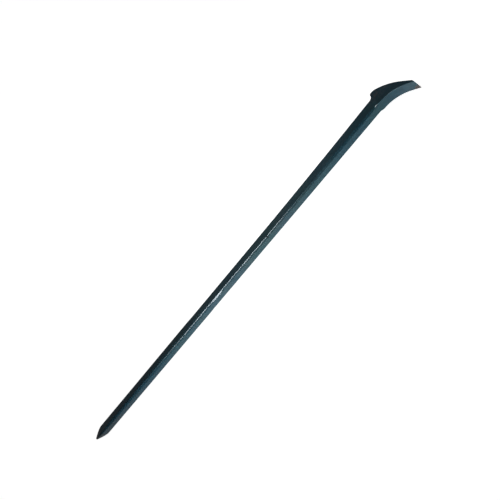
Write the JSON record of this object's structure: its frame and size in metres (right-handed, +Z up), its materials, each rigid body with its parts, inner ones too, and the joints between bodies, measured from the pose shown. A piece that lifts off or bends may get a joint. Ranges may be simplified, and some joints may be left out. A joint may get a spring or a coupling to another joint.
{
  "type": "crowbar",
  "caption": "Straight steel heel bar with a curved chisel blade and fulcrum heel at one end and a blunt point at the other, in dark petrol-blue enamel.",
  "frame": {"origin": "on the floor under the middle of the bounding box, with the bar lying on its side", "axes": "+X along the bar from the point to the head, +Y towards the heel, which is the side away from the hollow of the blade, +Z up across the width of the blade"},
  "size_m": [1.5, 0.0866, 0.0378],
  "materials": {
    "blade_enamel": "semi-gloss dark petrol-blue enamel on forged steel, worn at the cutting edge",
    "heel_enamel": "semi-gloss dark petrol-blue enamel on forged steel",
    "neck_enamel": "semi-gloss dark petrol-blue enamel on forged steel",
    "upper_shank_enamel": "semi-gloss dark petrol-blue enamel on hammered steel",
    "lower_shank_enamel": "semi-gloss dark petrol-blue enamel on rolled steel",
    "point_enamel": "semi-gloss dark petrol-blue enamel on forged steel, thin and darkened at the tip"
  },
  "bodies": {
    "root": {"chisel_blade": "blade_enamel", "heel_block": "heel_enamel", "neck": "neck_enamel", "upper_shank": "upper_shank_enamel", "lower_shank": "lower_shank_enamel", "point": "point_enamel"}
  },
  "joints": []
}
